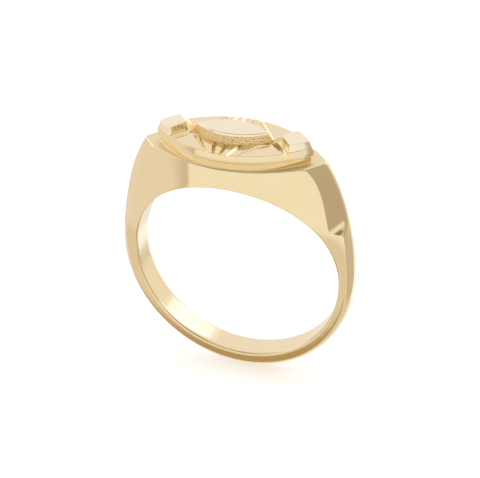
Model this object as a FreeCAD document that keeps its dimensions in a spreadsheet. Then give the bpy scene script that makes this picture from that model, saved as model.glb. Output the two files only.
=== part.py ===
import FreeCAD, Part
import Sketcher
import math
import os

# A signet ring with a raised navette head, in millimetres.
# The origin is the centre of the finger hole. +Y runs along the finger,
# +X along the head and +Z up through it.

DIMENSIONS = {
    # Finger hole and band
    "bore_radius": 8.65,
    "bore_tool_length": 30.0,
    "width_top": 7.0,
    "width_side": 2.42,
    "width_bottom": 2.25,
    "thick_side": 1.27,
    "thick_bottom": 1.57,
    "crest_lift": 0.32,
    "crest_lean": 0.18,
    "side_strip": 0.40,
    # Shoulders
    "shoulder_rise": 4.83,
    "shoulder_power": 2.5,
    "shoulder_trim": 0.45,
    "seat_height": 10.2,
    "seat_half_length": 8.1,
    "seat_half_width": 3.15,
    "seat_corner_angle": 33.0,
    "facet_slope_top": 1.15,
    "facet_slope_end": 0.97,
    "facet_end_angle": 59.0,
    "facet_lift_top": 0.16,
    "facet_lift_end": 1.0,
    "facet_runout_angle": 40.0,
    "facet_stop_angle": 9.0,
    "head_lean": 0.09,
    # Lower plate of the head
    "under_half_length": 6.38,
    "under_half_width": 2.93,
    "under_thick": 0.6,
    "fillet_leg": 0.10,
    "fillet_draft": 45.0,
    # Upper plate, with its engraved floor
    "top_half_length": 6.6,
    "top_half_width": 3.04,
    "top_thick": 0.76,
    "top_draft": 8.0,
    # End blocks
    "block_corner_x": 4.98,
    "block_inner_x": 3.85,
    "block_raw_height": 1.2,
    # Centre boss
    "boss_centre_x": -0.12,
    "boss_half_length": 3.45,
    "boss_half_width": 1.38,
    "boss_draft": 22.0,
    "boss_raw_height": 1.4,
    # Crowned top surface shared by the blocks and the boss
    "crown_top": 12.4,
    "crown_radius": 58.5,
    "crown_tool_length": 20.0,
    # Engraved grooves
    "graver_width": 1.2,
    "joint_x": 3.28,
    "joint_depth": 0.27,
    "long_rim_x": 0.95,
    "long_rim_depth": 0.14,
    "block_rim_x": 4.9,
    "block_rim_y": 1.75,
    "block_rim_depth": 0.16,
    "ray_root_x": 1.07,
    "ray_root_y": 1.25,
    "ray_root_depth": 0.22,
    "ray_rim_x": 0.48,
    "ray_rim_depth": 0.08,
}

FLOOR_HEIGHT = "Dimensions.seat_height + Dimensions.under_thick + Dimensions.top_thick"
RAYS = 3
GROOVE_RUNOUT = 0.3
BAR_TILT = 45
CORNER_GUESS_Y = 1.3

# Sketcher's own numbers for the axes and for the points of an arc
SKETCH_X_AXIS = -1
SKETCH_Y_AXIS = -2
ARC_START, ARC_END, ARC_CENTRE = 1, 2, 3

doc = FreeCAD.newDocument("signet_ring")
sheet = doc.addObject("Spreadsheet::Sheet", "Dimensions")
for row, (alias, value) in enumerate(DIMENSIONS.items(), start=1):
    sheet.set("A%d" % row, alias)
    sheet.set("B%d" % row, str(value))
    sheet.setAlias("B%d" % row, alias)
doc.recompute()


def size(alias):
    """A driving dimension, read from the sheet."""
    return float(sheet.get(alias))


def bind(target, path, expression):
    """Drive one property of an object from the sheet."""
    target.setExpression(path, expression)


def mix(first, second, share):
    """Value that runs from first to second as share runs from 0 to 1."""
    return first + (second - first) * share


# ---------------------------------------------------------------- shank

def body_width(angle):
    """Width of the shank at the finger hole, at an angle from the top."""
    far = size("width_top") if math.cos(angle) > 0 else size("width_bottom")
    return mix(size("width_side"), far, math.cos(angle) ** 2)


def crest_radius(angle):
    """Radius of the shank's outer crest, which climbs into the shoulders.

    The sides of the band are a little off centre: up by crest_lift, to -X by crest_lean.
    The +X shoulder is filed lower, by shoulder_trim.
    """
    up, across = math.cos(angle), math.sin(angle)
    thick = size("thick_side") + (size("crest_lift") * up - size("crest_lean") * across) * across ** 2
    if up > 0:
        thick += size("shoulder_rise") * up ** size("shoulder_power")
        thick -= size("shoulder_trim") * up ** 2 * max(across, 0)
    else:
        thick += (size("thick_bottom") - size("thick_side")) * up ** 2
    return size("bore_radius") + thick


def seat_edge(x):
    """Half width of the navette seat at a distance x from its middle."""
    length = size("seat_half_length")
    width = size("seat_half_width")
    radius = (length ** 2 + width ** 2) / (2 * width)
    return math.sqrt(radius ** 2 - x ** 2) - (radius - width)


def blend(value, start, end):
    """Smooth step from 0 at start to 1 at end."""
    part = min(max((value - start) / (end - start), 0.0), 1.0)
    return part * part * (3 - 2 * part)


INNER_ALLOWANCE = 0.8
CROWN_OVERHANG = 0.05
EDGE_EASE = 0.06
CROWN_STEPS = 16
BISECTIONS = 40
SECTION_STEP = 5
SLOPE_HOLD_ANGLE = math.radians(55)
SLOPE_END_ANGLE = math.radians(100)
BAND_SIDE_SLOPE = 0.06


def flank_slope(angle):
    """Inward lean of the front and back faces: dy over dr."""
    turn = abs(angle)
    corner = math.radians(size("seat_corner_angle"))
    held = min(turn, corner)
    seat_radius = size("seat_height") / math.cos(held)
    edge = seat_edge(size("seat_height") * math.tan(held))
    slope = (body_width(held) / 2 - edge) / (seat_radius - size("bore_radius"))
    return mix(slope, BAND_SIDE_SLOPE, blend(turn, SLOPE_HOLD_ANGLE, SLOPE_END_ANGLE))


def on_section(angle, radius, y):
    """Point of the section plane at an angle from the top; the head's sections lean back a little."""
    lean = size("head_lean") * (1 - blend(abs(angle), SLOPE_HOLD_ANGLE, SLOPE_END_ANGLE))
    y += lean * (radius - size("bore_radius"))
    return FreeCAD.Vector(radius * math.sin(angle), y, radius * math.cos(angle))


def soft_minimum(first, second):
    """The smaller of two radii, eased over EDGE_EASE where they cross."""
    gap = first - second
    return (first + second - math.sqrt(gap * gap + EDGE_EASE * EDGE_EASE)) / 2


def outer_radius(angle, y):
    """Radius of the outer surface: half-round crown, cut by the shoulder flats.

    Each flat runs out slowly down the band, except the front one on the +X side, which stops short.
    """
    crest = crest_radius(angle)
    strip = size("bore_radius") + size("side_strip")
    reach = abs(y) / (body_width(angle) / 2 + CROWN_OVERHANG)
    crown = strip + (crest - strip) * math.sqrt(1 - reach * reach)
    corner, end = math.radians(size("seat_corner_angle")), math.radians(size("facet_end_angle"))
    slope = mix(size("facet_slope_top"), size("facet_slope_end"), blend(abs(angle), corner, end))
    stops = angle > 0 and y < 0
    run_out_angle = math.radians(size("facet_stop_angle" if stops else "facet_runout_angle"))
    run_out = blend(abs(angle), end, end + run_out_angle)
    lift = mix(size("facet_lift_top"), size("facet_lift_end"), run_out)
    return soft_minimum(crown, crest + lift - abs(y) / slope)


def edge_half_width(angle, side):
    """Half width where a flank meets the outer surface, by bisection: side is 1 at the back, -1 in front."""
    half = body_width(angle) / 2
    slope = flank_slope(angle)
    low, high = 0.0, half
    for _ in range(BISECTIONS):
        y = (low + high) / 2
        if y < half - slope * (outer_radius(angle, side * y) - size("bore_radius")):
            low = y
        else:
            high = y
    return low


def shank_section(angle):
    """Outline of the shank at one angle, started inside the finger hole."""
    inner = size("bore_radius") - INNER_ALLOWANCE
    foot = body_width(angle) / 2 + flank_slope(angle) * INNER_ALLOWANCE
    back_edge, front_edge = edge_half_width(angle, 1), edge_half_width(angle, -1)
    outer = []
    for step in range(CROWN_STEPS + 1):
        y = mix(-front_edge, back_edge, (1 + math.cos(math.pi * step / CROWN_STEPS)) / 2)
        outer.append(on_section(angle, outer_radius(angle, y), y))
    curve = Part.BSplineCurve()
    curve.interpolate(outer)
    front, back = on_section(angle, inner, -foot), on_section(angle, inner, foot)
    edges = [Part.makeLine(back, outer[0]), curve.toShape(), Part.makeLine(outer[-1], front),
             Part.makeLine(front, back)]
    return Part.Wire(edges)


def half_ring(label, start):
    """Half of the shank blank, lofted from one seam to the other."""
    wires = [shank_section(math.radians(start + turn)) for turn in range(0, 181, SECTION_STEP)]
    feature = doc.addObject("Part::Feature", label)
    feature.Shape = Part.makeLoft(wires, True)
    return feature


def across_tool(label, radius_expression, length_alias, height_expression="0"):
    """Cylinder that lies along Y, centred on the Y = 0 plane."""
    tool = doc.addObject("Part::Cylinder", label)
    bind(tool, "Radius", radius_expression)
    bind(tool, "Height", "Dimensions.%s" % length_alias)
    tool.Placement = FreeCAD.Placement(FreeCAD.Vector(), FreeCAD.Rotation(FreeCAD.Vector(1, 0, 0), -90))
    bind(tool, "Placement.Base.y", "-Dimensions.%s / 2" % length_alias)
    bind(tool, "Placement.Base.z", height_expression)
    return tool


def combine(kind, label, base, tool):
    """Boolean of two objects: kind is Cut or Common."""
    result = doc.addObject("Part::" + kind, label)
    result.Base = base
    result.Tool = tool
    return result


def build_shank():
    """Band, shoulders and flat seat, bored for the finger."""
    blank = doc.addObject("Part::MultiFuse", "shank_blank")
    blank.Shapes = [half_ring("left_half", -180), half_ring("right_half", 0)]
    below_seat = doc.addObject("Part::Box", "below_seat")
    for side in ("Length", "Width", "Height"):
        bind(below_seat, side, "Dimensions.bore_tool_length")
    bind(below_seat, "Placement.Base.x", "-Dimensions.bore_tool_length / 2")
    bind(below_seat, "Placement.Base.y", "-Dimensions.bore_tool_length / 2")
    bind(below_seat, "Placement.Base.z", "Dimensions.seat_height - Dimensions.bore_tool_length")
    form = combine("Common", "shank_form", blank, below_seat)
    bore = across_tool("finger_bore", "Dimensions.bore_radius", "bore_tool_length")
    return combine("Cut", "shank", form, bore)


# ---------------------------------------------------------------- head

def arc_radius(name):
    """Expression for the radius of the two arcs of a navette outline."""
    length, width = "Dimensions.%s_half_length" % name, "Dimensions.%s_half_width" % name
    return "(%s ^ 2 + %s ^ 2) / (2 * %s)" % (length, width, width)


def new_body(label, centre_x, floor_z):
    """Body whose own XY plane is moved to its place by bound values."""
    body = doc.addObject("PartDesign::Body", label)
    bind(body, "Placement.Base.x", centre_x)
    bind(body, "Placement.Base.z", floor_z)
    return body


def new_sketch(body, name):
    """Sketch on the body's own XY plane."""
    sketch = body.newObject("Sketcher::SketchObject", name)
    plane = next(item for item in body.Origin.OriginFeatures if item.Role == "XY_Plane")
    sketch.AttachmentSupport = [(plane, "")]
    sketch.MapMode = "FlatFace"
    return sketch


def name_and_bind(sketch, index, name, expression):
    """Name a dimension of a sketch and drive it from the sheet."""
    sketch.renameConstraint(index, name)
    bind(sketch, "Constraints." + name, expression)


def arc_pair(sketch, name, grow):
    """Two equal arcs on the Y axis, concentric with the named navette and grown from it."""
    half_length = size(name + "_half_length")
    half_width = size(name + "_half_width")
    radius = (half_length ** 2 + half_width ** 2) / (2 * half_width)
    offset = radius - half_width
    spread = math.acos(offset / radius)
    for side in (1, -1):
        circle = Part.Circle(FreeCAD.Vector(0, -side * offset, 0), FreeCAD.Vector(0, 0, 1), radius)
        middle = side * math.pi / 2
        sketch.addGeometry(Part.ArcOfCircle(circle, middle - spread, middle + spread))
    for arc in (0, 1):
        sketch.addConstraint(Sketcher.Constraint("PointOnObject", arc, ARC_CENTRE, SKETCH_Y_AXIS))
    sketch.addConstraint(Sketcher.Constraint("Equal", 0, 1))
    index = sketch.addConstraint(Sketcher.Constraint("Radius", 0, radius))
    name_and_bind(sketch, index, "arc_radius", "%s + %s" % (arc_radius(name), grow))
    for arc, label in ((0, "back_centre"), (1, "front_centre")):
        ends = (arc, ARC_CENTRE, SKETCH_X_AXIS, 1) if arc == 0 else (SKETCH_X_AXIS, 1, arc, ARC_CENTRE)
        index = sketch.addConstraint(Sketcher.Constraint("DistanceY", *ends, offset))
        name_and_bind(sketch, index, label, "%s - Dimensions.%s_half_width" % (arc_radius(name), name))


def navette_sketch(body, sketch_name, name, grow="0"):
    """Closed navette outline: the arc pair, met in a point at each end."""
    sketch = new_sketch(body, sketch_name)
    arc_pair(sketch, name, grow)
    sketch.addConstraint(Sketcher.Constraint("Coincident", 0, ARC_END, 1, ARC_START))
    sketch.addConstraint(Sketcher.Constraint("Coincident", 1, ARC_END, 0, ARC_START))
    return sketch


def pad(body, sketch, label, height, draft="0"):
    """Pad a sketch upwards, leaning its walls inwards by the draft angle."""
    feature = body.newObject("PartDesign::Pad", label)
    feature.Profile = sketch
    bind(feature, "Length", height)
    bind(feature, "TaperAngle", "-(%s)" % draft)
    return feature


def build_under_plate():
    """Lower navette plate, standing straight on the seat."""
    body = new_body("under_plate", "0", "Dimensions.seat_height")
    outline = navette_sketch(body, "under_outline", "under")
    pad(body, outline, "under_pad", "Dimensions.under_thick")
    return body


def build_seat_solder():
    """Fillet of solder in the corner between the seat and the lower plate."""
    body = new_body("seat_solder", "0", "Dimensions.seat_height")
    outline = navette_sketch(body, "solder_outline", "under", "Dimensions.fillet_leg")
    pad(body, outline, "solder_pad", "Dimensions.fillet_leg", "Dimensions.fillet_draft")
    inner = navette_sketch(body, "solder_inner", "under")
    cut = body.newObject("PartDesign::Pocket", "solder_pocket")
    cut.Profile = inner
    cut.Type = "ThroughAll"
    cut.Reversed = True
    return body


def graver(label, start, end, start_depth, end_depth):
    """Square bar standing on one edge, which cuts a V groove that changes depth on its way."""
    rise = size(start_depth) - size(end_depth)
    run = FreeCAD.Vector(end[0] - start[0], end[1] - start[1], rise)
    tool = doc.addObject("Part::Box", label)
    tool.Length = run.Length
    bind(tool, "Width", "Dimensions.graver_width")
    bind(tool, "Height", "Dimensions.graver_width")
    heading = math.degrees(math.atan2(run.y, run.x))
    climb = math.degrees(math.asin(rise / run.Length))
    turn = FreeCAD.Rotation(heading, -climb, BAR_TILT)
    tool.Placement = FreeCAD.Placement(FreeCAD.Vector(start[0], start[1], 0), turn)
    bind(tool, "Placement.Base.z", "%s - Dimensions.%s" % (FLOOR_HEIGHT, start_depth))
    return tool


def engraving():
    """Grooves round the boss: four long cuts, four block cuts and two fans of rays."""
    middle = size("boss_centre_x")
    tools = []
    for y_side, y_name in ((-1, "front"), (1, "back")):
        rim_y = y_side * (size("top_half_width") + GROOVE_RUNOUT)
        for x_side, x_name in ((-1, "left"), (1, "right")):
            joint = (middle + x_side * size("joint_x"), 0.0)
            long_end = (middle + x_side * size("long_rim_x"), rim_y)
            block_end = (x_side * size("block_rim_x"), y_side * size("block_rim_y"))
            place = "%s_%s" % (y_name, x_name)
            tools.append(graver("long_cut_" + place, joint, long_end, "joint_depth", "long_rim_depth"))
            tools.append(graver("block_cut_" + place, joint, block_end, "joint_depth", "block_rim_depth"))
        for ray in range(RAYS):
            spread = 2 * ray / (RAYS - 1) - 1
            root = (middle + spread * size("ray_root_x"), y_side * size("ray_root_y"))
            tip = (middle + spread * size("ray_rim_x"), rim_y)
            tools.append(graver("ray_%s_%d" % (y_name, ray), root, tip, "ray_root_depth", "ray_rim_depth"))
    return tools


def build_top_plate():
    """Upper navette plate with leaning walls and engraved floor."""
    body = new_body("top_blank", "0", "Dimensions.seat_height + Dimensions.under_thick")
    outline = navette_sketch(body, "top_outline", "top")
    pad(body, outline, "top_pad", "Dimensions.top_thick", "Dimensions.top_draft")
    plate = body
    for tool in engraving():
        plate = combine("Cut", "plate_after_" + tool.Label, plate, tool)
    plate.Label = "top_plate"
    return plate


def build_end_block(label, turn, crown):
    """Kite-shaped block on one tip of the upper plate, under the crowned top."""
    body = new_body(label + "_blank", "0", FLOOR_HEIGHT)
    body.Placement = FreeCAD.Placement(body.Placement.Base, FreeCAD.Rotation(FreeCAD.Vector(0, 0, 1), turn))
    sketch = new_sketch(body, label + "_outline")
    arc_pair(sketch, "top", "-Dimensions.top_thick * tan(Dimensions.top_draft * 1 deg)")
    corner_x, corner_y = size("block_corner_x"), CORNER_GUESS_Y
    inner = FreeCAD.Vector(size("block_inner_x"), 0, 0)
    for side in (1, -1):
        sketch.addGeometry(Part.LineSegment(inner, FreeCAD.Vector(corner_x, side * corner_y, 0)))
    for meeting in ((0, ARC_START, 1, ARC_END), (0, ARC_END, 2, 2), (1, ARC_START, 3, 2), (2, 1, 3, 1)):
        sketch.addConstraint(Sketcher.Constraint("Coincident", *meeting))
    sketch.addConstraint(Sketcher.Constraint("PointOnObject", 2, 1, SKETCH_X_AXIS))
    for line, point, name in ((2, 1, "block_inner_x"), (2, 2, "block_corner_x"), (3, 2, "front_corner_x")):
        alias = "block_corner_x" if name == "front_corner_x" else name
        index = sketch.addConstraint(Sketcher.Constraint("DistanceX", SKETCH_X_AXIS, 1, line, point, size(alias)))
        name_and_bind(sketch, index, name, "Dimensions." + alias)
    pad(body, sketch, label + "_pad", "Dimensions.block_raw_height", "Dimensions.top_draft")
    return combine("Common", label, body, crown)


def build_centre_boss(crown):
    """Plain navette boss with sloping sides, under the crowned top."""
    body = new_body("boss_blank", "Dimensions.boss_centre_x", FLOOR_HEIGHT)
    outline = navette_sketch(body, "boss_outline", "boss")
    pad(body, outline, "boss_pad", "Dimensions.boss_raw_height", "Dimensions.boss_draft")
    return combine("Common", "centre_boss", body, crown)


def check(parts):
    """Stop if any object failed or any part is not a valid solid."""
    for item in doc.Objects:
        failed = {"Invalid", "Error"} & set(item.State)
        if failed:
            raise RuntimeError("%s: %s" % (item.Label, item.State))
    for part in parts:
        shape = part.Shape
        if shape.isNull() or not shape.isValid() or not shape.Solids:
            raise RuntimeError("%s is not a valid solid" % part.Label)


crown_tool = across_tool("head_crown", "Dimensions.crown_radius", "crown_tool_length",
                         "Dimensions.crown_top - Dimensions.crown_radius")
parts = [
    build_shank(),
    build_under_plate(),
    build_seat_solder(),
    build_top_plate(),
    build_end_block("end_block_left", 180, crown_tool),
    build_end_block("end_block_right", 0, crown_tool),
    build_centre_boss(crown_tool),
]
doc.recompute()
check(parts)

os.makedirs("parts", exist_ok=True)
for part in parts:
    box = part.Shape.optimalBoundingBox()
    print("%-16s volume %8.3f solids %d z %.2f to %.2f" % (
        part.Label, part.Shape.Volume, len(part.Shape.Solids), box.ZMin, box.ZMax))
    part.Shape.exportStep("parts/%s.step" % part.Label)
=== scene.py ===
import math

import bmesh
import bpy
import numpy as np
from mathutils import Matrix, Vector, noise


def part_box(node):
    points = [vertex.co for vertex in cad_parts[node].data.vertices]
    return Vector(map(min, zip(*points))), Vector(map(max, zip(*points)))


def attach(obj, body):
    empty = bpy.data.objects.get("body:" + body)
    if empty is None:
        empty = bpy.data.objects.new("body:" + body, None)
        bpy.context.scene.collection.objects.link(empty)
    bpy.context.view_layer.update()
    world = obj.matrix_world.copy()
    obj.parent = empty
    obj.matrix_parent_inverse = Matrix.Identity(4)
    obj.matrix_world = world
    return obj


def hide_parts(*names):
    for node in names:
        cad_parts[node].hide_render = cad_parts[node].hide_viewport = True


# The signet ring's looks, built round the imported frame. Sizes here are in millimetres,
# in the frame's own axes, and every mesh is scaled to metres as it is made.

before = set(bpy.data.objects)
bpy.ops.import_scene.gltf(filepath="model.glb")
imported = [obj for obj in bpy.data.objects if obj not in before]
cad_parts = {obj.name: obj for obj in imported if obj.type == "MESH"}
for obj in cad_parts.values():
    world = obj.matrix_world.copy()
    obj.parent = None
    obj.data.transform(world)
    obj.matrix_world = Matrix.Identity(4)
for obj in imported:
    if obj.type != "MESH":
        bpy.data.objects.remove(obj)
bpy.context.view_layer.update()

MM = 0.001


def cad_box(node):
    """A CAD node's lowest and highest corners, in millimetres."""
    low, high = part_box(node)
    return np.array(low) / MM, np.array(high) / MM


# ------------------------------------------------------------ heights and sizes from the frame

SEAT_Z = cad_box("under_plate")[0][2]
PLATE_Z = cad_box("top_plate")[0][2]
FLOOR_Z = cad_box("top_plate")[1][2]
CROWN_Z = cad_box("centre_boss")[1][2]
GROUND_Z = cad_box("shank")[0][2]

# ------------------------------------------------------------ the shank's own formula

# The CAD model's dimensions
BORE_RADIUS = 8.65
WIDTH_TOP, WIDTH_SIDE, WIDTH_BOTTOM = 7.0, 2.42, 2.25
THICK_SIDE, THICK_BOTTOM = 1.27, 1.57
CREST_LIFT, CREST_LEAN = 0.32, 0.18
SIDE_STRIP = 0.40
SHOULDER_RISE, SHOULDER_POWER, SHOULDER_TRIM = 4.83, 2.5, 0.45
SEAT_HALF_LENGTH, SEAT_HALF_WIDTH = 8.1, 3.15
SEAT_CORNER = math.radians(33)
FACET_SLOPE_TOP, FACET_SLOPE_END = 1.15, 0.97
FACET_END, FACET_RUNOUT, FACET_STOP = math.radians(59), math.radians(40), math.radians(9)
FACET_LIFT_TOP, FACET_LIFT_END = 0.16, 1.0
HEAD_LEAN = 0.09
SLOPE_HOLD, SLOPE_END = math.radians(55), math.radians(100)
BAND_SIDE_SLOPE = 0.06
CROWN_OVERHANG = 0.05

# How far the edges are softened
FACET_EASE = 0.05
SEAT_EASE = 0.10
EDGE_REACH, BAND_EDGE_REACH = 0.06, 0.16
INNER_ZONE = 0.5
CORNER_EASE = math.radians(6)

# How finely the mesh is divided
BISECTIONS = 40
COARSE_STEP, FINE_STEP = 1.25, 0.2
FINE_FROM, FINE_TO = 29.0, 39.0
BORE_POINTS, FLANK_POINTS, OUTER_POINTS = 20, 24, 96
BLUR_SAMPLES = 2048
CROWDING = 0.6


def mix(first, second, share):
    """Value that runs from first to second as share runs from 0 to 1."""
    return first + (second - first) * share


def blend(value, start, end):
    """Smooth step from 0 at start to 1 at end."""
    part = min(max((value - start) / (end - start), 0.0), 1.0)
    return part * part * (3 - 2 * part)


def soft_minimum(first, second, ease):
    """The smaller of two values, eased where they cross."""
    return (first + second - np.sqrt((first - second) ** 2 + ease * ease)) / 2


def body_width(angle):
    """Width of the shank at the finger hole, at an angle from the top."""
    far = WIDTH_TOP if math.cos(angle) > 0 else WIDTH_BOTTOM
    return mix(WIDTH_SIDE, far, math.cos(angle) ** 2)


def crest_radius(angle):
    """Radius of the outer crest, which climbs into the shoulders."""
    up, across = math.cos(angle), math.sin(angle)
    thick = THICK_SIDE + (CREST_LIFT * up - CREST_LEAN * across) * across ** 2
    if up > 0:
        thick += SHOULDER_RISE * up ** SHOULDER_POWER
        thick -= SHOULDER_TRIM * up ** 2 * max(across, 0)
    else:
        thick += (THICK_BOTTOM - THICK_SIDE) * up ** 2
    return BORE_RADIUS + thick


def seat_edge(x):
    """Half width of the seat at a distance x from its middle."""
    radius = (SEAT_HALF_LENGTH ** 2 + SEAT_HALF_WIDTH ** 2) / (2 * SEAT_HALF_WIDTH)
    return math.sqrt(radius ** 2 - x ** 2) - (radius - SEAT_HALF_WIDTH)


def flank_slope(angle):
    """Inward lean of the front and back faces."""
    turn = abs(angle)
    held = float(soft_minimum(turn, SEAT_CORNER, CORNER_EASE))
    edge = seat_edge(SEAT_Z * math.tan(held))
    slope = (body_width(held) / 2 - edge) / (SEAT_Z / math.cos(held) - BORE_RADIUS)
    return mix(slope, BAND_SIDE_SLOPE, blend(turn, SLOPE_HOLD, SLOPE_END))


def outer_radius(angle, y):
    """Half-round crown, cut by the shoulder facets and by the flat seat.

    The front facet on the right stops short. The other three run out slowly.
    """
    crest = crest_radius(angle)
    strip = BORE_RADIUS + SIDE_STRIP
    reach = np.abs(y) / (body_width(angle) / 2 + CROWN_OVERHANG)
    crown = strip + (crest - strip) * np.sqrt(1 - np.minimum(reach, 1) ** 2)
    slope = mix(FACET_SLOPE_TOP, FACET_SLOPE_END, blend(abs(angle), SEAT_CORNER, FACET_END))
    slow = mix(FACET_LIFT_TOP, FACET_LIFT_END, blend(abs(angle), FACET_END, FACET_END + FACET_RUNOUT))
    short = mix(FACET_LIFT_TOP, FACET_LIFT_END, blend(abs(angle), FACET_END, FACET_END + FACET_STOP))
    lift = np.where((np.asarray(y) < 0) & (angle > 0), short, slow)
    radius = soft_minimum(crown, crest + lift - np.abs(y) / slope, FACET_EASE)
    if math.cos(angle) > 0:
        radius = soft_minimum(radius, SEAT_Z / math.cos(angle), SEAT_EASE)
    return radius


def edge_half_width(angle, side):
    """Half width where the flank meets the outer surface, by bisection; side is -1 at the front."""
    half, slope = body_width(angle) / 2, flank_slope(angle)
    low, high = 0.0, half
    for _ in range(BISECTIONS):
        y = (low + high) / 2
        if y < half - slope * (float(outer_radius(angle, side * y)) - BORE_RADIUS):
            low = y
        else:
            high = y
    return low


def eased(loop, reach):
    """A closed outline with its corners rounded, by a Gaussian blur along its length."""
    closed = np.vstack([loop, loop[:1]])
    along = np.concatenate([[0.0], np.cumsum(np.linalg.norm(np.diff(closed, axis=0), axis=1))])
    length = along[-1]
    places = np.linspace(0, length, BLUR_SAMPLES, endpoint=False)
    pitch = np.fft.fftfreq(BLUR_SAMPLES, length / BLUR_SAMPLES)
    gain = np.exp(-2 * (math.pi * pitch * reach) ** 2)
    columns = []
    for column in closed.T:
        fine = np.fft.ifft(np.fft.fft(np.interp(places, along, column)) * gain).real
        columns.append(np.interp(along[:-1], np.append(places, length), np.append(fine, fine[0])))
    return np.stack(columns, axis=1)


def crowded(count):
    """Fractions from 0 towards 1 that crowd towards both ends, without the last."""
    share = np.arange(count) / count
    return mix(share, (1 - np.cos(math.pi * share)) / 2, CROWDING)


def shank_section(angle):
    """Closed outline of the shank at one angle: columns are radius and y."""
    half = body_width(angle) / 2
    back, front = edge_half_width(angle, 1), -edge_half_width(angle, -1)
    back_rim, front_rim = float(outer_radius(angle, back)), float(outer_radius(angle, front))
    bore_y = mix(-half, half, crowded(BORE_POINTS))
    flank = crowded(FLANK_POINTS)
    outer_y = mix(back, front, crowded(OUTER_POINTS))
    rows = [
        np.stack([np.full(BORE_POINTS, BORE_RADIUS), bore_y], axis=1),
        np.stack([mix(BORE_RADIUS, back_rim, flank), mix(half, back, flank)], axis=1),
        np.stack([outer_radius(angle, outer_y), outer_y], axis=1),
        np.stack([mix(front_rim, BORE_RADIUS, flank), mix(front, -half, flank)], axis=1),
    ]
    sharp = np.vstack(rows)
    reach = mix(EDGE_REACH, BAND_EDGE_REACH, blend(abs(angle), SLOPE_HOLD, SLOPE_END))
    outwards = np.clip((sharp[:, :1] - BORE_RADIUS) / INNER_ZONE, 0, 1)
    loop = mix(eased(sharp, reach), eased(sharp, EDGE_REACH), outwards)
    lean = HEAD_LEAN * (1 - blend(abs(angle), SLOPE_HOLD, SLOPE_END))
    loop[:, 1] += lean * (loop[:, 0] - BORE_RADIUS)
    return loop


def shank_angles():
    """Angles of the sections: close together where the seat's tips are cut."""
    half = np.concatenate([
        np.arange(0, FINE_FROM, COARSE_STEP),
        np.arange(FINE_FROM, FINE_TO, FINE_STEP),
        np.arange(FINE_TO, 180, COARSE_STEP),
    ])
    return np.radians(np.concatenate([half, [180.0], -half[:0:-1]]))


# ------------------------------------------------------------ mesh helpers

def make_object(name, points, faces):
    """Mesh object from points in millimetres, with faces turned outwards."""
    mesh = bpy.data.meshes.new(name)
    mesh.from_pydata([tuple(point * MM) for point in points], [], faces)
    work = bmesh.new()
    work.from_mesh(mesh)
    bmesh.ops.recalc_face_normals(work, faces=work.faces)
    work.to_mesh(mesh)
    work.free()
    for face in mesh.polygons:
        face.use_smooth = True
    thing = bpy.data.objects.new(name, mesh)
    bpy.context.collection.objects.link(thing)
    return thing


def ring_faces(rings, count, wrap):
    """Quads between each ring of points and the next."""
    faces = []
    for ring in range(rings if wrap else rings - 1):
        here, there = ring * count, ((ring + 1) % rings) * count
        for step in range(count):
            after = (step + 1) % count
            faces.append((here + step, here + after, there + after, there + step))
    return faces


def closed_tube(name, rings):
    """Rings joined to each other and the last to the first."""
    return make_object(name, np.vstack(rings), ring_faces(len(rings), len(rings[0]), True))


def capped_stack(name, rings, top_point=None):
    """Rings joined upwards, with a flat base and a flat or crowned top."""
    count = len(rings[0])
    points = np.vstack(rings)
    faces = ring_faces(len(rings), count, False)
    faces.append(tuple(reversed(range(count))))
    last = (len(rings) - 1) * count
    if top_point is None:
        faces.append(tuple(range(last, last + count)))
    else:
        points = np.vstack([points, top_point])
        peak = len(points) - 1
        faces += [(last + step, last + (step + 1) % count, peak) for step in range(count)]
    return make_object(name, points, faces)


def at_height(loop, height):
    """A flat outline lifted to a height, or to a height for each of its points."""
    return np.column_stack([loop, np.broadcast_to(height, len(loop))])


def sharpen(thing, degrees):
    """Keep edges over this angle sharp, and shade the rest smoothly."""
    thing.data.set_sharp_from_angle(angle=math.radians(degrees))


def finish_piece(thing, node, slot, material, *others):
    """Give a piece its materials, attach it to the root body and hide the CAD node it stands in for;
    others are pairs of a material and where it is worn.
    """
    thing.data.materials.clear()
    thing.data.materials.append(material)
    for place, (other, wears) in enumerate(others, start=1):
        thing.data.materials.append(other)
        for face in thing.data.polygons:
            if wears(face.center / MM, face.normal):
                face.material_index = place
    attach(thing, "root")
    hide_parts(node)


# ------------------------------------------------------------ outlines of the head

# The CAD model's dimensions
UNDER_HALF_LENGTH, UNDER_HALF_WIDTH = 6.38, 2.93
TOP_HALF_LENGTH, TOP_HALF_WIDTH = 6.6, 3.04
BOSS_HALF_LENGTH, BOSS_HALF_WIDTH = 3.45, 1.38
BOSS_CENTRE_X = -0.12
TOP_DRAFT = math.tan(math.radians(8))
BOSS_DRAFT = math.tan(math.radians(22))
BLOCK_CORNER_X, BLOCK_INNER_X = 4.98, 3.85
CROWN_RADIUS = 58.5
FLOOR_INSET = (FLOOR_Z - PLATE_Z) * TOP_DRAFT

# How the outlines' points are divided, and how far their corners are rounded
ARC_POINTS, BOSS_POINTS, KITE_POINTS = 120, 220, 40
TIP_REACH, BLOCK_REACH = 0.05, 0.10
QUARTER_POINTS = 6
QUARTER = np.linspace(0, math.pi / 2, QUARTER_POINTS)
CAP_RINGS = 5
# Where a wall's rings lie, as shares of its height between the two rounded edges.
WALL_SHARES = (0.03, 0.36, 0.42, 0.48, 0.7, 0.97)


def arc_sizes(half_length, half_width):
    """Radius of a navette's two arcs, and how far their centres lie off its long axis."""
    radius = (half_length ** 2 + half_width ** 2) / (2 * half_width)
    return radius, radius - half_width


def navette(half_length, half_width, inset, count=ARC_POINTS):
    """Pointed oval, moved inwards by inset, with its two tips slightly rounded."""
    radius, offset = arc_sizes(half_length, half_width)
    radius -= inset
    spread = math.acos(offset / radius)
    turn = mix(-spread, spread, crowded(count))
    back = np.stack([-radius * np.sin(turn), radius * np.cos(turn) - offset], axis=1)
    return eased(np.vstack([back, -back]), TIP_REACH)


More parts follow.
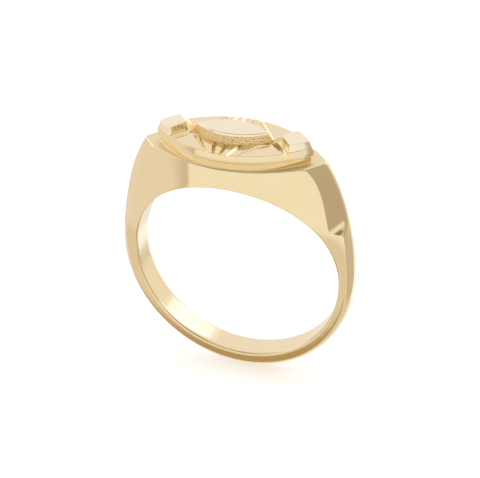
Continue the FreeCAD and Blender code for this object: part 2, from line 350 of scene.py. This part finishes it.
def under_outline(inset):
    """Outline of the lower plate."""
    return navette(UNDER_HALF_LENGTH, UNDER_HALF_WIDTH, inset)


def top_outline(inset):
    """Outline of the upper plate."""
    return navette(TOP_HALF_LENGTH, TOP_HALF_WIDTH, inset)


def kite(inset):
    """Right-hand end block's outline: a plate tip closed by two straight edges."""
    radius, offset = arc_sizes(TOP_HALF_LENGTH, TOP_HALF_WIDTH)
    radius -= FLOOR_INSET
    corner_y = math.sqrt(radius ** 2 - BLOCK_CORNER_X ** 2) - offset
    along = np.array([BLOCK_CORNER_X - BLOCK_INNER_X, corner_y])
    along /= np.linalg.norm(along)
    inner = np.array([BLOCK_INNER_X + inset / along[1], 0.0])
    radius -= inset
    lead = inner + [0, offset]
    reach = math.sqrt((lead @ along) ** 2 - lead @ lead + radius ** 2) - lead @ along
    corner = inner + reach * along
    turn = mix(math.acos(offset / radius), math.asin(corner[0] / radius), crowded(KITE_POINTS))
    arc = np.stack([radius * np.sin(turn), radius * np.cos(turn) - offset], axis=1)
    edge = corner + (inner - corner) * crowded(KITE_POINTS)[:, None]
    half = np.vstack([arc, edge])
    return eased(np.vstack([half, inner[None, :], half[:0:-1] * [1, -1]]), BLOCK_REACH)


def flat_top(height):
    """Top surface at one height."""
    return lambda x: np.full(len(x), height)


def crown_top(x):
    """Crowned top surface that the blocks and the boss share."""
    return CROWN_Z - CROWN_RADIUS + np.sqrt(CROWN_RADIUS ** 2 - x ** 2)


def lean_at(climb, height, draft, belt):
    """Inset of a wall at a climb above its foot: upright up to the belt, then leaning harder."""
    upright = belt * height
    return draft * height * max(climb - upright, 0) / (height - upright)


def wall_rings(outline, low, top_of, height, draft, round_low, round_high, belt=0.0):
    """Rings of a leaning wall with rounded edges, up to the surface that top_of gives."""
    rings = []
    for turn in QUARTER:
        loop = outline(round_low * (1 - math.sin(turn)))
        rings.append(at_height(loop, low + round_low * (1 - math.cos(turn))))
    for share in WALL_SHARES:
        climb = mix(round_low, height - round_high, share)
        loop = outline(lean_at(climb, height, draft, belt))
        rings.append(at_height(loop, low + climb + share * (top_of(loop[:, 0]) - low - height)))
    lean = lean_at(height - round_high, height, draft, belt)
    for turn in QUARTER:
        loop = outline(lean + round_high * (1 - math.cos(turn)))
        rings.append(at_height(loop, top_of(loop[:, 0]) - round_high * (1 - math.sin(turn))))
    return rings


def cap_rings(last, centre_x, top_of):
    """Rings that close a top towards its centre, and the centre point."""
    centre = np.array([centre_x, 0.0])
    rings = []
    for step in range(1, CAP_RINGS):
        loop = last[:, :2] + (centre - last[:, :2]) * step / CAP_RINGS
        rings.append(at_height(loop, top_of(loop[:, 0])))
    return rings, at_height(centre[None, :], top_of(centre[:1]))


# ------------------------------------------------------------ the seven pieces

def make_shank():
    """Band, shoulders and seat."""
    rings = []
    for angle in shank_angles():
        radius, y = shank_section(angle).T
        rings.append(np.stack([radius * math.sin(angle), y, radius * math.cos(angle)], axis=1))
    return closed_tube("ring_shank", rings)


UNDER_ROUND_LOW, UNDER_ROUND_HIGH = 0.02, 0.06


def make_under_plate():
    """Lower plate with an upright wall and an eased upper edge."""
    rings = wall_rings(under_outline, SEAT_Z, flat_top(PLATE_Z), PLATE_Z - SEAT_Z, 0,
                       UNDER_ROUND_LOW, UNDER_ROUND_HIGH)
    return capped_stack("lower_plate", rings)


SOLDER_LEG = 0.10
SOLDER_WAVER = 0.25
SOLDER_NOISE_PITCH = 0.9


def make_solder():
    """Concave fillet of solder whose width wavers a little along the foot of the plate."""
    foot = under_outline(0)
    wide = under_outline(-SOLDER_LEG)
    waver = [noise.noise(Vector((x, y, 0)) / SOLDER_NOISE_PITCH) for x, y in foot]
    share = 1 + SOLDER_WAVER * (np.array(waver)[:, None] - 1) / 2
    rings = [at_height(foot, SEAT_Z), at_height(foot + (wide - foot) * share, SEAT_Z)]
    for turn in QUARTER[1:]:
        loop = foot + (wide - foot) * share * (1 - math.sin(turn))
        rings.append(at_height(loop, SEAT_Z + SOLDER_LEG * share[:, 0] * (1 - math.cos(turn))))
    return closed_tube("seat_solder_fillet", rings)


JOINT_X, JOINT_DEPTH = 3.28, 0.27
LONG_RIM_X, LONG_RIM_DEPTH = 0.95, 0.14
BLOCK_RIM, BLOCK_RIM_DEPTH = (4.9, 1.75), 0.16
RAYS = 3
RAY_ROOT, RAY_ROOT_DEPTH = (1.07, 1.25), 0.22
RAY_RIM_X, RAY_RIM_DEPTH = 0.48, 0.08
GRAVER_WIDTH = 1.2
RIM_OVERSHOOT = 0.3
RIM_Y = TOP_HALF_WIDTH + RIM_OVERSHOOT


def groove_paths():
    """Start, end and the two depths of every V groove in the upper plate's floor."""
    paths = []
    for y_side in (-1, 1):
        for x_side in (-1, 1):
            joint = (BOSS_CENTRE_X + x_side * JOINT_X, 0)
            rim = (BOSS_CENTRE_X + x_side * LONG_RIM_X, y_side * RIM_Y)
            paths.append((joint, rim, JOINT_DEPTH, LONG_RIM_DEPTH))
            rim = (x_side * BLOCK_RIM[0], y_side * BLOCK_RIM[1])
            paths.append((joint, rim, JOINT_DEPTH, BLOCK_RIM_DEPTH))
        for spread in np.linspace(-1, 1, RAYS):
            root = (BOSS_CENTRE_X + spread * RAY_ROOT[0], y_side * RAY_ROOT[1])
            rim = (BOSS_CENTRE_X + spread * RAY_RIM_X, y_side * RIM_Y)
            paths.append((root, rim, RAY_ROOT_DEPTH, RAY_RIM_DEPTH))
    return paths


def graver(start, end, start_depth, end_depth):
    """Square bar standing on one edge, from one floor point to another."""
    run = Vector((end[0] - start[0], end[1] - start[1], start_depth - end_depth))
    heading, climb = math.atan2(run.y, run.x), math.asin(run.z / run.length)
    sides = (0, GRAVER_WIDTH)
    corners = [Vector((x, y, z)) for x in (0, run.length) for y in sides for z in sides]
    on_edge = Matrix.Rotation(math.pi / 4, 3, "X")
    turn = Matrix.Rotation(heading, 3, "Z") @ Matrix.Rotation(-climb, 3, "Y") @ on_edge
    place = Vector((start[0], start[1], FLOOR_Z - start_depth))
    points = np.array([place + turn @ corner for corner in corners])
    faces = [(0, 1, 3, 2), (4, 6, 7, 5), (0, 4, 5, 1), (2, 3, 7, 6), (0, 2, 6, 4), (1, 5, 7, 3)]
    return make_object("graver", points, faces)


PLATE_ROUND_LOW, PLATE_ROUND_HIGH = 0.08, 0.05
PLATE_BELT = 0.42
CREASE_DEGREES = 25


def carve(piece, tools):
    """Cut the tools out of a piece, then delete them."""
    for tool in tools:
        cut = piece.modifiers.new("groove", "BOOLEAN")
        cut.operation = "DIFFERENCE"
        cut.solver = "EXACT"
        cut.object = tool
    shown = bpy.context.evaluated_depsgraph_get()
    carved = bpy.data.meshes.new_from_object(piece.evaluated_get(shown))
    piece.modifiers.clear()
    piece.data = carved
    for tool in tools:
        bpy.data.objects.remove(tool)


def make_top_plate():
    """Upper plate with its V grooves cut by the gravers."""
    rings = wall_rings(top_outline, PLATE_Z, flat_top(FLOOR_Z), FLOOR_Z - PLATE_Z, TOP_DRAFT,
                       PLATE_ROUND_LOW, PLATE_ROUND_HIGH, PLATE_BELT)
    plate = capped_stack("upper_plate", rings)
    carve(plate, [graver(*path) for path in groove_paths()])
    sharpen(plate, CREASE_DEGREES)
    return plate


BLOCK_ROUND = 0.05
BLOCK_CENTRE_X = 5.1


def make_block(name, side):
    """Kite-shaped end block: side is 1 for the right-hand one, -1 for the left."""
    rings = wall_rings(kite, FLOOR_Z, crown_top, CROWN_Z - FLOOR_Z, TOP_DRAFT, 0.0, BLOCK_ROUND)
    cap, peak = cap_rings(rings[-1], BLOCK_CENTRE_X, crown_top)
    turn = [side, side, 1]
    return capped_stack(name, [ring * turn for ring in rings + cap], peak * turn)


BOSS_CHAMFER = 0.10
BOSS_WALL_RINGS = 22
STIPPLE_DEPTH, STIPPLE_PITCH = 0.022, 0.11
STIPPLE_FINE, STIPPLE_INWARD = 0.5, 0.4
NUDGE = 0.01


def boss_outline(inset):
    """Outline of the boss round its own middle."""
    return navette(BOSS_HALF_LENGTH, BOSS_HALF_WIDTH, inset, BOSS_POINTS)


def make_boss():
    """Boss with a stippled, sloping wall, a bright chamfer and a plain crowned top."""
    height = CROWN_Z - FLOOR_Z - BOSS_CHAMFER
    rings = []
    for share in np.linspace(0, 1, BOSS_WALL_RINGS):
        fade = math.sqrt(math.sin(math.pi * share))
        loop = boss_outline(share * height * BOSS_DRAFT)
        push = []
        for x, y in loop:
            spot = Vector((x, y, share * height)) / STIPPLE_PITCH
            push.append(noise.noise(spot) + STIPPLE_FINE * noise.noise(spot * 2))
        inward = (boss_outline(share * height * BOSS_DRAFT + NUDGE) - loop) / NUDGE
        loop = loop + inward * STIPPLE_DEPTH * fade * (np.array(push)[:, None] + STIPPLE_INWARD)
        top = crown_top(loop[:, 0]) - BOSS_CHAMFER
        rings.append(at_height(loop, FLOOR_Z + share * (top - FLOOR_Z)))
    for turn in QUARTER[1:]:
        inset = height * BOSS_DRAFT + BOSS_CHAMFER * (1 - math.cos(turn))
        loop = boss_outline(inset)
        rings.append(at_height(loop, crown_top(loop[:, 0]) - BOSS_CHAMFER * (1 - math.sin(turn))))
    cap, peak = cap_rings(rings[-1], 0.0, crown_top)
    shift = [BOSS_CENTRE_X, 0, 0]
    return capped_stack("boss", [ring + shift for ring in rings + cap], peak + shift)


# ------------------------------------------------------------ materials

CLOUD_PITCH, SCRATCH_PITCH = 2.5, 0.12
CLOUD_DETAIL, SCRATCH_DETAIL, RELIEF_DETAIL = 3, 4, 2
POLISH_DRIFT = 0.5


def new_material(name):
    """Plain node material: returns it, its nodes, its links and its shader."""
    material = bpy.data.materials.new(name)
    material.use_nodes = True
    nodes, links = material.node_tree.nodes, material.node_tree.links
    return material, nodes, links, nodes["Principled BSDF"]


def mixed_colour(nodes, links, share, first, second):
    """Socket between two colours; each is a triple of numbers or a socket."""
    mixer = nodes.new("ShaderNodeMixRGB")
    links.new(share, mixer.inputs["Fac"])
    for colour, socket in ((first, mixer.inputs["Color1"]), (second, mixer.inputs["Color2"])):
        if isinstance(colour, tuple):
            socket.default_value = (*colour, 1)
        else:
            links.new(colour, socket)
    return mixer.outputs["Color"]


def noise_socket(nodes, links, pitch, detail):
    """Noise with a pitch in millimetres, fixed to the object."""
    place = nodes.new("ShaderNodeTexCoord")
    cloud = nodes.new("ShaderNodeTexNoise")
    cloud.inputs["Scale"].default_value = 1 / (pitch * MM)
    cloud.inputs["Detail"].default_value = detail
    links.new(place.outputs["Object"], cloud.inputs["Vector"])
    return cloud.outputs["Fac"]


def gold(name, pale, deep, roughness, relief_pitch, relief_depth):
    """Gold whose colour and polish drift a little, over a relief of the given pitch and depth."""
    material, nodes, links, shader = new_material(name)
    shader.inputs["Metallic"].default_value = 1.0
    cloud = noise_socket(nodes, links, CLOUD_PITCH, CLOUD_DETAIL)
    links.new(mixed_colour(nodes, links, cloud, pale, deep), shader.inputs["Base Color"])
    polish = nodes.new("ShaderNodeMapRange")
    polish.inputs["To Min"].default_value = roughness * (1 - POLISH_DRIFT)
    polish.inputs["To Max"].default_value = roughness * (1 + POLISH_DRIFT)
    links.new(noise_socket(nodes, links, SCRATCH_PITCH, SCRATCH_DETAIL), polish.inputs["Value"])
    links.new(polish.outputs["Result"], shader.inputs["Roughness"])
    bump = nodes.new("ShaderNodeBump")
    bump.inputs["Distance"].default_value = relief_depth * MM
    links.new(noise_socket(nodes, links, relief_pitch, RELIEF_DETAIL), bump.inputs["Height"])
    links.new(bump.outputs["Normal"], shader.inputs["Normal"])
    return material


# Each gold: pale and deep colour, roughness, and the pitch and depth of its relief in millimetres.
polished = gold("polished_gold", (0.89, 0.77, 0.51), (0.87, 0.74, 0.46), 0.05, 1.6, 0.006)
brushed = gold("brushed_gold", (0.90, 0.78, 0.54), (0.86, 0.73, 0.46), 0.17, 0.45, 0.012)
satin = gold("satin_gold", (0.90, 0.78, 0.53), (0.87, 0.74, 0.47), 0.5, 0.4, 0.004)
# Deeper yellow gold of the lower plate: a painted golden reflection.
plate = gold("plate_gold", (0.99, 0.82, 0.45), (0.98, 0.78, 0.38), 0.07, 0.8, 0.006)
solder = gold("pale_solder", (0.95, 0.84, 0.60), (0.88, 0.76, 0.50), 0.42, 0.3, 0.006)
engraved = gold("engraved_gold", (0.90, 0.77, 0.52), (0.88, 0.73, 0.44), 0.06, 1.2, 0.006)
# Paler gold of the end blocks and of the boss's top and chamfer: a painted highlight.
crown = gold("crown_highlight_gold", (0.95, 0.87, 0.67), (0.93, 0.84, 0.62), 0.07, 1.2, 0.004)
# Groove and inner-wall gold: the graver's fine relief is real, and its deeper, more orange tone is painted
# shade of the recesses.
graven_and_shaded = gold("graven_and_shaded_gold", (0.97, 0.85, 0.58), (0.90, 0.73, 0.43), 0.10, 0.16, 0.020)
# Boss wall: its rough relief is real stippling, and its dark brown is painted shade.
stippled_and_shaded = gold("stippled_and_shaded_gold", (0.97, 0.79, 0.45), (0.76, 0.53, 0.24), 0.20, 0.13, 0.05)


FLOOR_NORMAL = 0.95
BOSS_STRIP = 0.12
BORE_SKIN, SEAT_SKIN = 0.03, 0.05


def in_bore(centre, normal):
    """True on the wall of the finger hole, which is brushed, not polished."""
    return math.hypot(centre.x, centre.z) < BORE_RADIUS + BORE_SKIN and abs(normal.y) < FLOOR_NORMAL


def on_seat(centre, normal):
    """True on the flat seat round the lower plate, which is left satin."""
    return centre.z > SEAT_Z - SEAT_SKIN and normal.z > FLOOR_NORMAL


def in_groove(centre, normal):
    """True on the groove faces, well inside the upper plate's rim, which get the painted shade."""
    radius, offset = arc_sizes(TOP_HALF_LENGTH, TOP_HALF_WIDTH)
    inside = math.hypot(centre.x, abs(centre.y) + offset) < radius - FLOOR_INSET - PLATE_ROUND_HIGH
    return inside and centre.z > PLATE_Z + PLATE_ROUND_LOW and normal.z < FLOOR_NORMAL


def on_inner_wall(centre, normal):
    """True on the two block walls that face the boss, which get the painted shade."""
    return normal.x * centre.x < 0 and normal.z < FLOOR_NORMAL


def on_stippled_shaded_wall(centre, normal):
    """True on the boss's wall, below its polished chamfer, which gets the painted shade."""
    return centre.z < CROWN_Z - BOSS_CHAMFER - BOSS_STRIP and normal.z < FLOOR_NORMAL


finish_piece(make_shank(), "shank", "polished_gold", polished, (brushed, in_bore), (satin, on_seat))
finish_piece(make_under_plate(), "under_plate", "plate_gold", plate)
finish_piece(make_solder(), "seat_solder", "solder", solder)
finish_piece(make_top_plate(), "top_plate", "engraved_gold", engraved, (graven_and_shaded, in_groove))
finish_piece(make_block("left_block", -1), "end_block_left", "block_gold", crown, (graven_and_shaded, on_inner_wall))
finish_piece(make_block("right_block", 1), "end_block_right", "block_gold", crown, (graven_and_shaded, on_inner_wall))
finish_piece(make_boss(), "centre_boss", "boss_gold", crown, (stippled_and_shaded, on_stippled_shaded_wall))

# ------------------------------------------------------------ floor, light and camera

FLOOR_METRES = 1.2
PAPER_COLOUR, PAPER_ROUGHNESS = (0.95, 0.95, 0.95, 1), 0.9
PAPER_GLOW, PAPER_GLOW_STRENGTH = (1, 1, 1, 1), 0.45


def make_floor():
    """White paper that glows a little, as if lit from all round, and that the metal doesn't mirror."""
    bpy.ops.mesh.primitive_plane_add(size=FLOOR_METRES, location=(0, 0, GROUND_Z * MM))
    floor = bpy.context.object
    floor.name = "studio_floor"
    paper, _, _, shader = new_material("white_paper")
    shader.inputs["Base Color"].default_value = PAPER_COLOUR
    shader.inputs["Roughness"].default_value = PAPER_ROUGHNESS
    shader.inputs["Emission Color"].default_value = PAPER_GLOW
    shader.inputs["Emission Strength"].default_value = PAPER_GLOW_STRENGTH
    floor.data.materials.append(paper)
    floor.visible_glossy = False
    return floor


make_floor()

# The light tent round the ring. Each card covers a range of turn (degrees from the front,
# positive to the right) and of elevation, with its own soft edges, in its own colour.
# A later card lies over the earlier ones.
TENT_WHITE = (0.95, 0.91, 0.87)
TENT_CARDS = [
    # turn from, to, soft edges; elevation from, to, soft edges; colour
    ((-180, -100, 5, 30), (-60, 90, 10, 5), (0.96, 0.91, 0.90)),    # back cloth, left
    ((-180, -128, 5, 10), (12, 60, 8, 10), (0.96, 0.92, 0.94)),     # window behind it
    ((-130, -48, 20, 4), (-60, 25, 10, 20), (0.90, 0.82, 0.77)),    # left cloth
    ((-58, -48, 16, 4), (-24, 25, 8, 20), (0.71, 0.61, 0.54)),      # flag by the front card
    ((-48, 56, 4, 8), (-24, 18, 6, 10), (1.00, 0.96, 0.90)),        # front card
    ((-60, 60, 10, 20), (-38, -24, 6, 6), (0.83, 0.74, 0.64)),      # table edge below it
    ((-60, 30, 10, 30), (-90, -39, 5, 6), (0.52, 0.36, 0.19)),      # golden glow under the ring
    ((30, 150, 30, 20), (-90, -48, 5, 8), (0.82, 0.72, 0.60)),      # table on the right
    ((92, 147, 12, 12), (-46, -18, 8, 6), (0.62, 0.54, 0.48)),      # shade on it
    ((68, 138, 5, 10), (-48, 16, 8, 20), (0.67, 0.59, 0.50)),       # dark side of the room
    ((70, 86, 5, 10), (-34, 12, 10, 10), (0.56, 0.47, 0.38)),       # its darkest part
    ((-60, 70, 20, 20), (24, 66, 10, 12), (0.33, 0.27, 0.20)),      # camera and photographer
    ((69, 104, 5, 8), (8, 46, 8, 8), (0.57, 0.49, 0.39)),           # dark wall above
    ((125, 180, 20, 5), (-22, 12, 8, 14), (0.97, 0.90, 0.82)),      # back cloth, right
    ((114, 172, 10, 12), (15, 43, 12, 10), (1.45, 1.5, 1.75)),      # main soft box, back right
    ((150, 172, 10, 10), (-43, -31, 6, 4), (1.15, 1.2, 1.3)),       # its glint on the table
    ((-122, -80, 10, 10), (8, 34, 8, 8), (1.3, 1.3, 1.35)),         # small lamp on the left
]


def calculated(nodes, links, operation, *operands):
    """Socket with the result of a math operation; each operand is a whole number or a socket."""
    node = nodes.new("ShaderNodeMath")
    node.operation = operation
    for operand, socket in zip(operands, node.inputs):
        if isinstance(operand, int):
            socket.default_value = operand
        else:
            links.new(operand, socket)
    return node.outputs[0]


def window(nodes, links, value, low, high, soft_low, soft_high):
    """Socket that is 1 between two values, in degrees, and 0 outside, with soft edges."""
    parts = []
    rising = (low - soft_low / 2, low + soft_low / 2)
    falling = (high + soft_high / 2, high - soft_high / 2)
    for start, end in (rising, falling):
        edge = nodes.new("ShaderNodeMapRange")
        edge.interpolation_type = "SMOOTHSTEP"
        edge.inputs["From Min"].default_value = math.radians(start)
        edge.inputs["From Max"].default_value = math.radians(end)
        links.new(value, edge.inputs["Value"])
        parts.append(edge.outputs["Result"])
    return calculated(nodes, links, "MULTIPLY", *parts)


def light_tent():
    """World of soft cards that the polished metal mirrors."""
    world = bpy.data.worlds.new("light_tent")
    world.use_nodes = True
    nodes, links = world.node_tree.nodes, world.node_tree.links
    place = nodes.new("ShaderNodeTexCoord")
    parts = nodes.new("ShaderNodeSeparateXYZ")
    links.new(place.outputs["Generated"], parts.inputs[0])
    front = calculated(nodes, links, "MULTIPLY", parts.outputs["Y"], -1)
    turn = calculated(nodes, links, "ARCTAN2", parts.outputs["X"], front)
    rise = calculated(nodes, links, "ARCSINE", parts.outputs["Z"])
    colour = TENT_WHITE
    for turn_range, rise_range, shade in TENT_CARDS:
        across = window(nodes, links, turn, *turn_range)
        upright = window(nodes, links, rise, *rise_range)
        share = calculated(nodes, links, "MULTIPLY", across, upright)
        colour = mixed_colour(nodes, links, share, colour, shade)
    links.new(colour, nodes["Background"].inputs["Color"])
    return world


bpy.context.scene.world = light_tent()
bpy.context.scene.view_settings.view_transform = "Standard"

VIEW_AZIMUTH, VIEW_ELEVATION, VIEW_ROLL = math.radians(21.68), math.radians(32.98), math.radians(-3.12)
VIEW_DISTANCE = 179.3
VIEW_AIM = Vector((-0.32, 0.79, 1.32))
LENS = 164.9
CLIP_START_METRES = 0.01


def make_camera():
    """Camera that looks at the ring from the front right and from above, with a slight roll."""
    data = bpy.data.cameras.new("camera")
    data.lens = LENS
    data.clip_start = CLIP_START_METRES
    camera = bpy.data.objects.new("camera", data)
    bpy.context.collection.objects.link(camera)
    tilt = Matrix.Rotation(math.pi / 2 - VIEW_ELEVATION, 4, "X")
    turn = Matrix.Rotation(VIEW_AZIMUTH, 4, "Z") @ tilt @ Matrix.Rotation(VIEW_ROLL, 4, "Z")
    back = turn.to_3x3() @ Vector((0, 0, 1))
    camera.matrix_world = Matrix.Translation((VIEW_AIM + back * VIEW_DISTANCE) * MM) @ turn
    return camera


bpy.context.scene.camera = make_camera()
